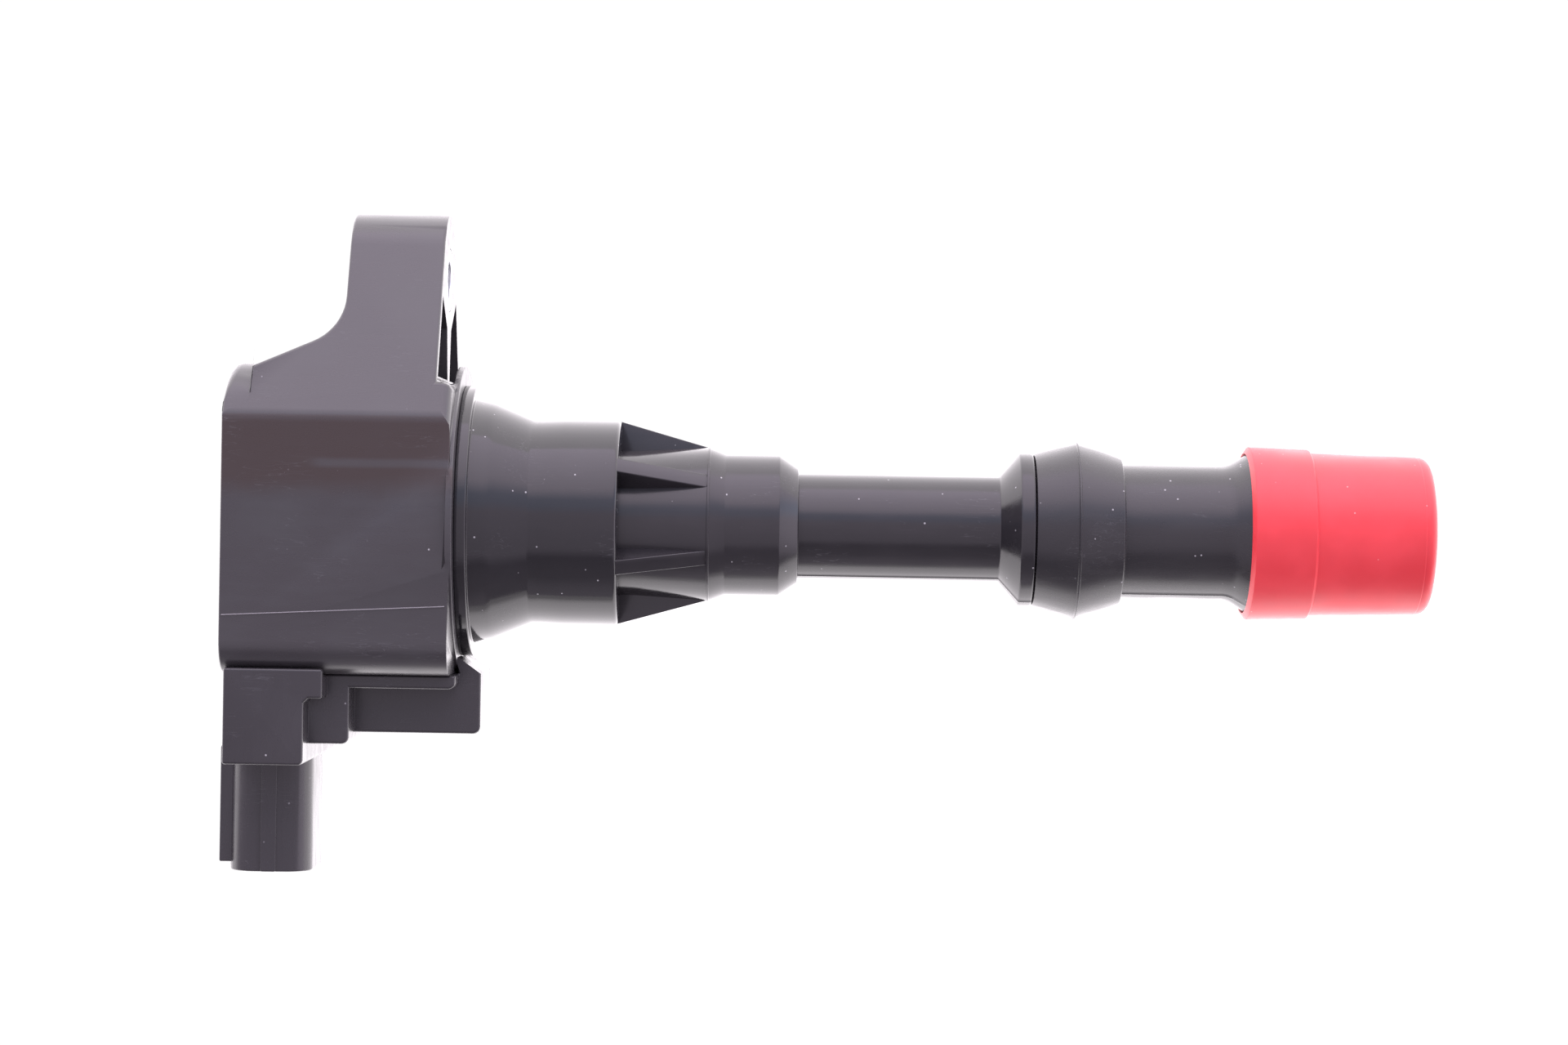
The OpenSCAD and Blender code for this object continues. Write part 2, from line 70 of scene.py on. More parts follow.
def box_mm(node):
    """Lowest and highest corner of a CAD node, in millimetres."""
    low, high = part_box(node)
    return low / MM, high / MM


# Stations and sizes that come from the frame
CASE_LOW, CASE_HIGH = box_mm("coil_case")
SEAL_LOW, SEAL_HIGH = box_mm("well_seal")
TUBE_LOW, TUBE_HIGH = box_mm("extension_tube")
BOOT_LOW, BOOT_HIGH = box_mm("plug_boot")
TIP_LOW, TIP_HIGH = box_mm("boot_tip")
SLEEVE_LOW, SLEEVE_HIGH = box_mm("bolt_sleeve")
RESIN_LOW = box_mm("potting")[0]
SPRING_LOW, SPRING_HIGH = box_mm("contact_spring")
CONTACT_LOW, CONTACT_HIGH = box_mm("plug_contact")
HOUSING_LOW = box_mm("connector_housing")[0]
PIN_LOW, PIN_HIGH = box_mm("ground_pin")

TOP_X = CASE_LOW.x
GUSSET_X = TOP_X + 3.9
COLLAR_X = SEAL_LOW.x
COLLAR_R = CASE_HIGH.z
FLANGE_R = SEAL_HIGH.z
SEAL_END_X = SEAL_HIGH.x
SOCKET_X = TUBE_LOW.x
TUBE_END_X = TUBE_HIGH.x
BOOT_X = BOOT_LOW.x
RIDGE_R = BOOT_HIGH.z
BOOT_END_X = BOOT_HIGH.x
TIP_X = TIP_LOW.x
TIP_R = TIP_HIGH.z
EAR_Y = (SLEEVE_LOW.y + SLEEVE_HIGH.y) / 2
PLUG_X = (PIN_LOW.x + PIN_HIGH.x) / 2

# Head and connector
EAR_FOOT_Y = 20.9
# where the pale painted reflection line runs across the head's flat sides
PAINTED_REFLECTION_Y = 8.2
HEAD_HALF_Z = 22.2
FACET_Y = 15.1                         # where the head's flat sides meet the ear's facets
EAR_SLOPE = (HEAD_HALF_Z - 9.4) / (EAR_Y + 3.5 - FACET_Y)
POCKET_DEPTH = 9.1
CAVITY_HALF_Z = 20.3
CAVITY_LOW_Y = -21
CAVITY_HIGH_Y = 19.3
CAVITY_CORNER = 7.2
CORNER_Y = 12.2                        # centres of the cavity's corners on the ear side
CORNER_Z = 13.2
GUIDES_HIGH_Y = -36.3                  # the connector's shroud and guides stand below this
GUIDES_HALF_Z = 9.5
STRIP_HALF_X = 1.3
SEAT_Y = -23.2                         # the housing lies against the collar above this
NEAR = 0.01

# Radii of the round parts, and stations along the tube and boot
WELL_R = 15.65
NECK_R = 8.9
CORE_R = 11.05
SHAFT_R = 8.0
SPIGOT_R = 6.4
BOOT_R = 10.1
TIP_MOUTH_R = 11.9
TIP_BORE_R = 12.0
FIN_SLEEVE_R = 10.75
BAND_R = 11.68
PASSAGE_R = 4.2
ROD_BORE_R = 2.0
PLUG_R = 5.1
CHANNEL_R = 3.6
PLUG_DEPTH = 34.0
FIN_X = SEAL_END_X - 0.9
FIN_END_X = FIN_X + 14.25
SHAFT_X = FIN_END_X + 13.65
FIN_COUNT = 6
FIN_TURN = -4.4                        # first fin, from the ear's direction
STEP_X = BOOT_X + 13.4
PARTING_ANGLE = math.radians(22)       # where the mould halves met, above the -Y side


# ------------------------------------------------------------ shader wiring

class Wire:
    """An output socket. Arithmetic on it adds Math nodes to its material."""

    def __init__(self, tree, socket=None):
        self.tree = tree
        self.socket = socket

    def node(self, kind, settings, inputs, out=0):
        """Adds a node: its settings first, then its sockets' values or links."""
        made = self.tree.nodes.new("ShaderNode" + kind)
        for key, value in settings.items():
            if key == "stops":
                set_stops(made.color_ramp, value)
            else:
                setattr(made, key, value)
        for key, value in inputs.items():
            if isinstance(value, Wire):
                self.tree.links.new(value.socket, made.inputs[key])
            else:
                made.inputs[key].default_value = value
        return Wire(self.tree, made.outputs[out] if made.outputs else None)

    def math(self, operation, first, second=0.0):
        return self.node("Math", {"operation": operation}, {0: first, 1: second})

    def __add__(self, other):
        return self.math("ADD", self, other)

    def __radd__(self, other):
        return self.math("ADD", other, self)

    def __sub__(self, other):
        return self.math("SUBTRACT", self, other)

    def __rsub__(self, other):
        return self.math("SUBTRACT", other, self)

    def __mul__(self, other):
        return self.math("MULTIPLY", self, other)

    def __rmul__(self, other):
        return self.math("MULTIPLY", other, self)

    def math_abs(self):
        return self.math("ABSOLUTE", self)

    def step(self, low, high):
        """0 below low, 1 above high, smooth between."""
        return self.node("MapRange", {"interpolation_type": "SMOOTHSTEP"},
                         {"Value": self, "From Min": low, "From Max": high})

    def blend(self, first, second):
        """The colour first where this is 0 and second where it is 1."""
        return self.node("Mix", {"data_type": "RGBA"}, {0: self, 6: first, 7: second}, out=2)


def set_stops(ramp, stops):
    """Gives a ramp its stops, each a place and a colour."""
    while len(ramp.elements) > 1:
        ramp.elements.remove(ramp.elements[-1])
    for i, (place, colour) in enumerate(stops):
        element = ramp.elements[0] if i == 0 else ramp.elements.new(place)
        element.position = place
        element.color = colour


def rgb(red, green, blue):
    return (red, green, blue, 1)


class Finish:
    """A material whose Principled shader takes the given fixed values."""

    def __init__(self, name, fixed):
        self.material = bpy.data.materials.new(name)
        self.material.use_nodes = True
        tree = self.material.node_tree
        self.shader = tree.nodes["Principled BSDF"]
        for key, value in fixed.items():
            self.shader.inputs[key].default_value = value
        self.tree = tree
        self.place = Wire(tree).node("TexCoord", {}, {}, out=3)

    def set(self, key, wire):
        self.tree.links.new(wire.socket, self.shader.inputs[key])

    def noise(self, size, detail=3, stretch=(1, 1, 1)):
        """Soft noise with features of about size millimetres."""
        place = self.place.node("Mapping", {}, {"Vector": self.place, "Scale": stretch})
        return self.place.node("TexNoise", {}, {"Vector": place, "Scale": 1 / (size * MM),
                                                "Detail": detail})

    def specks(self, size, share):
        """1 in small round specks, spaced by size millimetres; share says how many cells have one."""
        inputs = {"Vector": self.place, "Scale": 1 / (size * MM)}
        distance = self.place.node("TexVoronoi", {}, inputs, out=0)
        colour = self.place.node("TexVoronoi", {}, inputs, out=1)
        pick = self.place.node("SeparateColor", {}, {0: colour}, out=0)
        return (1 - distance.step(0.1, 0.2)) * pick.step(1 - share, 1 - share + 0.01)

    def scratches(self, size, turn):
        """1 along faint hairlines, in a direction turned by the given angles."""
        place = self.place.node("Mapping", {}, {"Vector": self.place, "Rotation": turn,
                                                "Scale": (1, 9, 9)})
        inputs = {"Vector": place, "Scale": 1 / (size * MM), "Detail": 2.0}
        line = self.place.node("TexNoise", {}, inputs)
        return 1 - (line - 0.5).math_abs().step(0.0, 0.012)

    def part(self, axis):
        """One coordinate of the surface point: 0, 1 or 2 for X, Y or Z."""
        return self.place.node("SeparateXYZ", {}, {0: self.place}, out=axis)

    def bump(self, height, depth):
        """Feeds Normal from a height, whose full range is depth millimetres."""
        self.set("Normal", self.place.node("Bump", {}, {"Height": height, "Distance": depth * MM}))


# --------------------------------------------------------------- materials

def moulded_black(name, base, cloud, rough, grain, dust, gloss=0.5, lay=(0.22, 1, 1),
                  tinted=None):
    """Black moulding: clouded colour, uneven gloss, fine grain, hairlines and dust."""
    f = Finish(name, {"Specular IOR Level": gloss})
    patch = f.noise(14, detail=4).step(0.35, 0.68)
    streak = f.noise(1.6, detail=5, stretch=lay).step(0.4, 0.7)
    lint = f.specks(0.9, dust)
    hair = f.scratches(7, (0.3, 0.2, 0.9)) * f.noise(9).step(0.54, 0.68)
    colour = (patch * 0.7 + streak * 0.3).blend(rgb(*base), rgb(*cloud))
    # tinted, where given, paints reflections and highlights into the colour
    if tinted:
        colour = tinted(f, colour)
    colour = (hair * 0.15).blend(colour, rgb(0.2, 0.2, 0.21))
    colour = (lint * 0.7).blend(colour, rgb(0.5, 0.49, 0.5))
    f.set("Base Color", colour)
    f.set("Roughness", rough[0] + (rough[1] - rough[0]) * (patch * 0.4 + streak * 0.6)
          + hair * 0.12 + lint * 0.4)
    height = f.noise(grain[0], detail=2) + streak * 0.35 + hair * 0.15 + lint * 0.8
    f.bump(height, grain[1])
    return f.material


def painted_reflections_and_flash(f, colour):
    """Painted reflections on the head's flat sides: a browner painted reflection on the ear half,
    with a pale painted reflection line in it; the parting ridge is made pale too.
    """
    x, y, z = f.part(0), f.part(1), f.part(2)
    flat = z.math_abs().step((HEAD_HALF_Z - 0.25) * MM, (HEAD_HALF_Z - 0.1) * MM)
    wander = (f.noise(6, detail=3) - 0.5) * 0.003
    # painted reflection: a browner, darker shade on the ear half of the flat sides
    dark_reflection = flat * (y + wander).step(0.002, 0.0065)
    colour = (dark_reflection * 0.85).blend(colour, rgb(0.0300, 0.0150, 0.0125))
    # painted reflection: a pale line along the flat sides
    line = (y + wander * 0.1 - PAINTED_REFLECTION_Y * MM).math_abs().step(0.0010, 0.0002)
    line = line * flat * x.step((TOP_X + 12) * MM, (TOP_X + 15) * MM)
    colour = (line * 0.45).blend(colour, rgb(0.058, 0.060, 0.066))
    # the proud parting ridge is made pale: partly the flash's own paler plastic, partly a painted
    # highlight
    proud = z.math_abs().step((HEAD_HALF_Z + 0.03) * MM, (HEAD_HALF_Z + 0.06) * MM)
    ridge = proud * (1 - y.step(-0.012, -0.011))
    return ridge.blend(colour, rgb(0.22, 0.21, 0.22))


def case_plastic():
    """Glass-filled moulding of the head, satin and clouded, with reflections painted on its flat
    sides.
    """
    return moulded_black("case_plastic", (0.0335, 0.0300, 0.0335), (0.0400, 0.0380, 0.0410),
                         (0.26, 0.36), (0.22, 0.006), 0.012, gloss=0.62, tinted=painted_reflections_and_flash)


def connector_plastic():
    return moulded_black("connector_plastic", (0.028, 0.0255, 0.029), (0.034, 0.031, 0.0345),
                         (0.24, 0.33), (0.14, 0.006), 0.012, lay=(1, 0.3, 1))


def tube_plastic():
    return moulded_black("tube_plastic", (0.0185, 0.0170, 0.0195), (0.0235, 0.0212, 0.0240),
                         (0.14, 0.22), (0.2, 0.003), 0.035)


def seal_rubber():
    return moulded_black("seal_rubber", (0.0150, 0.0140, 0.0165), (0.0185, 0.0170, 0.0195),
                         (0.07, 0.13), (0.25, 0.003), 0.05)


def boot_rubber():
    return moulded_black("boot_rubber", (0.0195, 0.0180, 0.0205), (0.0250, 0.0230, 0.0255),
                         (0.24, 0.34), (0.15, 0.006), 0.05)


def tip_silicone():
    """Red silicone of the boot's tip, clouded, with pale dust and fine grain."""
    f = Finish("tip_silicone", {"Specular IOR Level": 0.38, "Subsurface Weight": 0.2,
                                "Subsurface Radius": (1.0, 0.25, 0.2),
                                "Subsurface Scale": 0.0012})
    patch = f.noise(9, detail=3).step(0.35, 0.7)
    lint = f.specks(0.9, 0.03)
    colour = patch.blend(rgb(0.72, 0.046, 0.058), rgb(0.79, 0.056, 0.070))
    colour = (lint * 0.6).blend(colour, rgb(0.8, 0.45, 0.45))
    f.set("Base Color", colour)
    f.set("Roughness", 0.34 + 0.12 * patch + 0.3 * lint)
    f.bump(f.noise(0.2, detail=2) + lint, 0.006)
    return f.material


def metal(name, base, cloud, rough, lay=(1, 1, 1)):
    """Bare or plated metal with a directional lay and darker stains."""
    f = Finish(name, {"Metallic": 1.0})
    stain = f.noise(2.5, detail=4).step(0.42, 0.75)
    brushed = f.noise(0.12, detail=3, stretch=lay)
    f.set("Base Color", stain.blend(rgb(*base), rgb(*cloud)))
    f.set("Roughness", rough + 0.14 * stain + 0.1 * brushed)
    f.bump(brushed, 0.004)
    return f.material


def wound_wire(name, base, gap, pitch):
    """Enamelled wire, wound in neat turns along Z."""
    f = Finish(name, {"Coat Weight": 0.5, "Coat Roughness": 0.15})
    turns = f.place.node("TexWave", {"bands_direction": "Z"},
                         {"Vector": f.place, "Scale": 0.314 / (pitch * MM), "Distortion": 0.1})
    f.set("Base Color", turns.blend(rgb(*gap), rgb(*base)))
    f.set("Roughness", 0.42 - 0.15 * turns)
    f.bump(turns, pitch / 4)
    return f.material


def plain_moulding(name, base, cloud, rough):
    """Unpigmented or lightly pigmented inner moulding with flow marks."""
    f = Finish(name, {"Specular IOR Level": 0.5})
    flow = f.noise(3.0, detail=4, stretch=(1, 0.3, 0.3)).step(0.35, 0.7)
    f.set("Base Color", flow.blend(rgb(*base), rgb(*cloud)))
    f.set("Roughness", rough + 0.12 * flow)
    f.bump(f.noise(0.15), 0.006)
    return f.material


def potting_resin():
    """Dark epoxy with a skin of slow ripples and a few pin bubbles."""
    f = Finish("potting_resin", {"Specular IOR Level": 0.5, "Coat Weight": 0.2})
    ripple = f.noise(7, detail=2)
    bubble = f.specks(1.6, 0.12)
    f.set("Base Color", ripple.step(0.35, 0.7).blend(rgb(0.018, 0.015, 0.014),
                                                     rgb(0.035, 0.029, 0.026)))
    f.set("Roughness", 0.12 + 0.12 * ripple + 0.3 * bubble)
    f.bump(ripple - bubble * 0.5, 0.25)
    return f.material


def laminated_steel():
    """Stacked core sheets: thin dark joints across X and light rust."""
    f = Finish("core_steel", {"Metallic": 0.9})
    sheets = f.place.node("TexWave", {"bands_direction": "X"},
                          {"Vector": f.place, "Scale": 0.314 / (0.5 * MM)})
    rust = f.noise(3).step(0.55, 0.75)
    colour = sheets.blend(rgb(0.08, 0.08, 0.085), rgb(0.33, 0.34, 0.36))
    f.set("Base Color", (rust * 0.5).blend(colour, rgb(0.2, 0.09, 0.04)))
    f.set("Roughness", 0.34 + 0.2 * rust)
    f.bump(sheets, 0.03)
    return f.material


def resistor_ceramic():
    f = Finish("resistor_ceramic", {"Specular IOR Level": 0.4})
    speck = f.noise(0.5, detail=5).step(0.5, 0.8)
    f.set("Base Color", speck.blend(rgb(0.76, 0.71, 0.6), rgb(0.55, 0.48, 0.38)))
    f.set("Roughness", 0.55 + 0.15 * speck)
    f.bump(f.noise(0.2, detail=4), 0.02)
    return f.material


CASE = case_plastic()
CONNECTOR = connector_plastic()
TUBE = tube_plastic()
SEAL = seal_rubber()
BOOT = boot_rubber()
TIP = tip_silicone()
RESIN = potting_resin()
CORE = laminated_steel()
CERAMIC = resistor_ceramic()
BRASS = metal("terminal_brass", (0.78, 0.6, 0.24), (0.55, 0.38, 0.14), 0.24, (1, 0.1, 1))
PLATED = metal("plated_steel", (0.72, 0.73, 0.75), (0.5, 0.51, 0.53), 0.26, (0.15, 1, 1))
SPRING = metal("spring_steel", (0.5, 0.5, 0.51), (0.3, 0.29, 0.28), 0.28)
ALUMINIUM = metal("heat_aluminium", (0.8, 0.81, 0.83), (0.62, 0.63, 0.65), 0.3, (0.1, 1, 1))
FERRITE = plain_moulding("magnet", (0.035, 0.036, 0.04), (0.06, 0.06, 0.065), 0.5)
BOBBIN = plain_moulding("bobbin_plastic", (0.7, 0.62, 0.46), (0.62, 0.53, 0.37), 0.4)
CHIP = plain_moulding("module_plastic", (0.02, 0.021, 0.024), (0.03, 0.031, 0.034), 0.45)
GASKET = plain_moulding("gasket_silicone", (0.32, 0.08, 0.05), (0.38, 0.11, 0.07), 0.5)
COPPER = wound_wire("copper_wire", (0.62, 0.22, 0.09), (0.16, 0.05, 0.02), 0.5)
FINE_COPPER = wound_wire("fine_copper_wire", (0.66, 0.27, 0.11), (0.3, 0.1, 0.04), 0.16)


# --------------------------------------------------------------- modelling

WIDEST = 3.0                           # widest rounding, in millimetres
ROUNDING_STEPS = 4


def finished(bm, name, material, replaces, body="coil", crease=32, weighted=True):
    """Makes a piece from a bmesh in millimetres, puts it on its body and hides the CAD parts it
    replaces.
    """
    bmesh.ops.scale(bm, vec=(MM, MM, MM), verts=bm.verts)
    mesh = bpy.data.meshes.new(name)
    bm.to_mesh(mesh)
    bm.free()
    mesh.shade_smooth()
    mesh.set_sharp_from_angle(angle=math.radians(crease))
    mesh.materials.append(material)
    piece = bpy.data.objects.new(name, mesh)
    bpy.context.scene.collection.objects.link(piece)
    if weighted:
        normals = piece.modifiers.new("even_normals", "WEIGHTED_NORMAL")
        normals.keep_sharp = True
    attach(piece, body)
    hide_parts(*replaces)
    return piece


def rounded(corners, pieces=6):
    """Points of a closed outline whose corners (x, y, radius) are rounded."""
    points = []
    for i, (x, y, radius) in enumerate(corners):
        here = Vector((x, y))
        if radius == 0:
            points.append(here)
            continue
        before = (Vector(corners[i - 1][:2]) - here).normalized()
        after = (Vector(corners[(i + 1) % len(corners)][:2]) - here).normalized()
        half = before.angle(after) / 2
        centre = here + (before + after).normalized() * (radius / math.sin(half))
        first = here + before * (radius / math.tan(half)) - centre
        last = here + after * (radius / math.tan(half)) - centre
        start = math.atan2(first.y, first.x)
        sweep = (math.atan2(last.y, last.x) - start + math.pi) % TURN - math.pi
        points += [centre + radius * Vector((math.cos(start + sweep * k / pieces),
                                             math.sin(start + sweep * k / pieces)))
                   for k in range(pieces + 1)]
    return points


def turned(bm, outline, steps=160, start=0.0):
    """Turns a closed outline of (x, radius) points about the coil axis. Returns its points."""
    verts = [bm.verts.new((x, r * math.cos(start), r * math.sin(start))) for x, r in outline]
    edges = [bm.edges.new(pair) for pair in zip(verts, verts[1:] + verts[:1])]
    before = set(bm.verts) - set(verts)
    bmesh.ops.spin(bm, geom=verts + edges, cent=(0, 0, 0), axis=(1, 0, 0), angle=TURN,
                   steps=steps, use_merge=True, use_duplicate=False)
    made = [v for v in bm.verts if v not in before]
    bmesh.ops.remove_doubles(bm, verts=made, dist=0.0005)
    made = [v for v in bm.verts if v not in before]
    bmesh.ops.recalc_face_normals(bm, faces=[f for f in bm.faces if f.verts[0] not in before])
    return made


def flash_line(verts, angle, height, low_x, high_x, low_r):
    """Raises the points that lie at one angle about the axis, as a mould's parting line does."""
    for v in verts:
        radius = math.hypot(v.co.y, v.co.z)
        if low_x < v.co.x < high_x and radius > low_r:
            off = math.remainder(math.atan2(v.co.z, v.co.y) - angle, TURN)
            if abs(off) < 0.001:
                v.co.y += height * math.cos(angle)
                v.co.z += height * math.sin(angle)


def merged_copy(node):
    """A copy of a CAD node's shape in millimetres, its triangles joined into flat faces."""
    bm = bmesh.new()
    bm.from_mesh(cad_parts[node].data)
    bmesh.ops.scale(bm, vec=(1 / MM, 1 / MM, 1 / MM), verts=bm.verts)
    bmesh.ops.remove_doubles(bm, verts=bm.verts, dist=0.001)
    bmesh.ops.dissolve_limit(bm, angle_limit=math.radians(0.5), verts=bm.verts, edges=bm.edges)
    return bm


def soften(bm, width_at, sharpest):
    """Weights the edges that turn by more than sharpest degrees, for the Bevel modifier.

    width_at gives an edge's width in millimetres.
    """
    weight = bm.edges.layers.float.new("bevel_weight_edge")
    for e in bm.edges:
        if e.calc_face_angle() > math.radians(sharpest):
            middle = (e.verts[0].co + e.verts[1].co) / 2
            e[weight] = width_at(middle, e) / WIDEST


def round_edges(piece):
    """Rounds a piece's weighted edges."""
    bevel = piece.modifiers.new("edges", "BEVEL")
    bevel.width = WIDEST * MM
    bevel.segments = ROUNDING_STEPS
    bevel.limit_method = "WEIGHT"
    bevel.use_clamp_overlap = False
    bevel.harden_normals = True


def smooth_step(low, high, value):
    t = max(0.0, min(1.0, (value - low) / (high - low)))
    return t * t * (3 - 2 * t)


# -------------------------------------------------------------------- head

def case_edge(middle, edge):
    """Width of the rounding on an edge of the case."""
    x, y, z = middle
    radius = math.hypot(y, z)
    if x > COLLAR_X - NEAR:
        return 0.0 if radius < COLLAR_R - 0.1 else 0.15
    in_corner = math.hypot(y - CORNER_Y, abs(z) - CORNER_Z) < CAVITY_CORNER
    in_box = abs(z) < CAVITY_HALF_Z and CAVITY_LOW_Y < y < CAVITY_HIGH_Y
    if in_box and (y < CORNER_Y + 0.1 or abs(z) < CORNER_Z + 0.1 or in_corner):
        return 0.3 if x < TOP_X + NEAR else 0.0
    if x < TOP_X + NEAR:
        return 0.35 + 1.9 * smooth_step(17.5, 22.5, y)
    if radius > COLLAR_R - 0.1 and x > COLLAR_X - 1.1:
        beside_ear = x < COLLAR_X - 0.4 and y > FACET_Y + 0.5 and radius > COLLAR_R + 1
        return 1.6 if beside_ear else 0.15
    ear_half = HEAD_HALF_Z - (y - FACET_Y) * EAR_SLOPE
    if y > EAR_FOOT_Y and x > SLEEVE_HIGH.x - POCKET_DEPTH and abs(z) < ear_half - 1:
        return 0.0
    along_x = abs(edge.verts[0].co.x - edge.verts[1].co.x) > 5
    if along_x and abs(y - FACET_Y) < 0.3:
        return 1.1
    if x < GUSSET_X + NEAR:
        return 0.25
    return 0.5


def parting_ridge(bm, side):
    """The thin line that the mould left across a flat side of the head."""
    start, end = Vector((TOP_X + 0.4, -14.3, 0)), Vector((COLLAR_X - 0.9, -12.6, 0))
    half, height, sunk = 0.16, 0.17, 0.05
    corners = [bm.verts.new((start.x, start.y + y, z * side))
               for y, z in ((-half, HEAD_HALF_Z - sunk), (0, HEAD_HALF_Z + height),
                            (half, HEAD_HALF_Z - sunk))]
    face = bm.faces.new(corners)
    grown = bmesh.ops.extrude_face_region(bm, geom=[face])["geom"]
    moved = [g for g in grown if isinstance(g, bmesh.types.BMVert)]
    bmesh.ops.translate(bm, vec=end - start, verts=moved)
    faces = {f for v in corners + moved for f in v.link_faces}
    bmesh.ops.recalc_face_normals(bm, faces=list(faces))


def coil_case():
    bm = merged_copy("coil_case")
    soften(bm, case_edge, sharpest=20)
    for side in (-1, 1):
        parting_ridge(bm, side)
    piece = finished(bm, "coil_case_moulding", CASE, ["coil_case"], weighted=False)
    round_edges(piece)


def bolt_sleeve():
    bm = bmesh.new()
    bolt_r = 3.3
    low, high, outer = SLEEVE_LOW.x, SLEEVE_HIGH.x, SLEEVE_HIGH.z
    made = turned(bm, rounded([(low, bolt_r, 0.35), (low, outer, 0.25), (high, outer, 0.25),
                               (high, bolt_r, 0.35)], 3), steps=96)
    bmesh.ops.translate(bm, vec=(0, EAR_Y, 0), verts=made)
    finished(bm, "bolt_sleeve_steel", PLATED, ["bolt_sleeve"])


def potting():
    """The resin, drawn up a little where it wets the wall."""
    bm = merged_copy("potting")
    top = [f for f in bm.faces if f.normal.x < -0.99 and f.calc_center_median().x < RESIN_LOW.x + 0.1]
    rise = 0.55
    for v in {v for f in top for v in f.verts}:
        v.co.x -= rise
    for width, drop in ((0.25, 0.3), (0.45, 0.17), (0.9, 0.08)):
        bmesh.ops.inset_region(bm, faces=top, thickness=width, depth=0, use_even_offset=True,
                               use_boundary=True)
        for v in {v for f in top for v in f.verts}:
            v.co.x += drop
    finished(bm, "potting_resin_fill", RESIN, ["potting"])


def housing_edge(middle, edge):
    """Width of the rounding on an edge of the connector housing."""
    x, y, z = middle
    radius = math.hypot(y, z)
    at_mouth = y < HOUSING_LOW.y + 0.1
    if not edge.is_convex and not at_mouth:
        return 0.05
    on_collar_arc = edge.calc_length() < 0.3 and radius < COLLAR_R + 0.3
    if on_collar_arc or y > SEAT_Y and radius < COLLAR_R + 0.2:
        return 0.0
    if at_mouth:
        return 0.28
    if abs(z) < GUIDES_HALF_Z and y < GUIDES_HIGH_Y:
        return 0.13 if abs(x - PLUG_X) < STRIP_HALF_X else 0.25
    return 0.45


def connector_housing():
    bm = merged_copy("connector_housing")
    soften(bm, housing_edge, sharpest=30)
    piece = finished(bm, "connector_moulding", CONNECTOR,
                     ["connector_housing"], weighted=False)
    round_edges(piece)


def terminal(node):
    """A flat blade with a coined, chamfered tip."""
    bm = merged_copy(node)
    tip_y = box_mm(node)[0].y
    tip = [e for e in bm.edges if all(v.co.y < tip_y + 0.01 for v in e.verts)]
    bmesh.ops.bevel(bm, geom=tip, offset=0.22, segments=2, profile=0.5, affect="EDGES",
                    material=-1)
    finished(bm, node + "_blade", BRASS, [node], crease=25)


# ---------------------------------------------------------- seal and tube

def well_seal():
    """Flange, waisted neck and the plain band that fills the plug well."""
    x = COLLAR_X
    outline = rounded([
        (x, NECK_R, 0), (x, FLANGE_R, 0.2), (x + 1.8, FLANGE_R, 0.3), (x + 1.8, 18.6, 0.15),
        (x + 4.6, 18.0, 6.0), (x + 10.5, 15.5, 1.0), (x + 11.8, 15.5, 1.0),
        (x + 15.1, WELL_R, 4.0), (SEAL_END_X, WELL_R, 0.7),
        (SEAL_END_X, CORE_R, 0.15), (SOCKET_X, CORE_R, 0), (SOCKET_X, NECK_R, 0)])
    bm = bmesh.new()
    turned(bm, outline, steps=192)
    finished(bm, "well_seal_rubber", SEAL, ["well_seal"], weighted=False)


def fin(bm, angle):
    """One tapering fin of the tube, rounded along its free edges."""
    root = CORE_R - 0.9
    half = 1.2
    outline = [(FIN_X, root), (FIN_X, WELL_R - 0.05), (FIN_END_X, CORE_R + 0.55),
               (FIN_END_X, root)]
    before = set(bm.verts)
    face = bm.faces.new([bm.verts.new((x, r, -half)) for x, r in outline])
    side = bmesh.ops.extrude_face_region(bm, geom=[face])["geom"]
    bmesh.ops.translate(bm, vec=(0, 0, 2 * half),
                        verts=[g for g in side if isinstance(g, bmesh.types.BMVert)])
    made = [v for v in bm.verts if v not in before]
    faces = {f for v in made for f in v.link_faces}
    bmesh.ops.recalc_face_normals(bm, faces=list(faces))
    free = [e for e in {e for v in made for e in v.link_edges}
            if max(abs(v.co.y) for v in e.verts) > root + 0.1]
    bmesh.ops.bevel(bm, geom=free, offset=0.16, segments=3, profile=0.5, affect="EDGES",
                    material=-1)
    made = [v for v in bm.verts if v not in before]
    bmesh.ops.rotate(bm, cent=(0, 0, 0), matrix=Matrix.Rotation(angle, 3, "X"), verts=made)


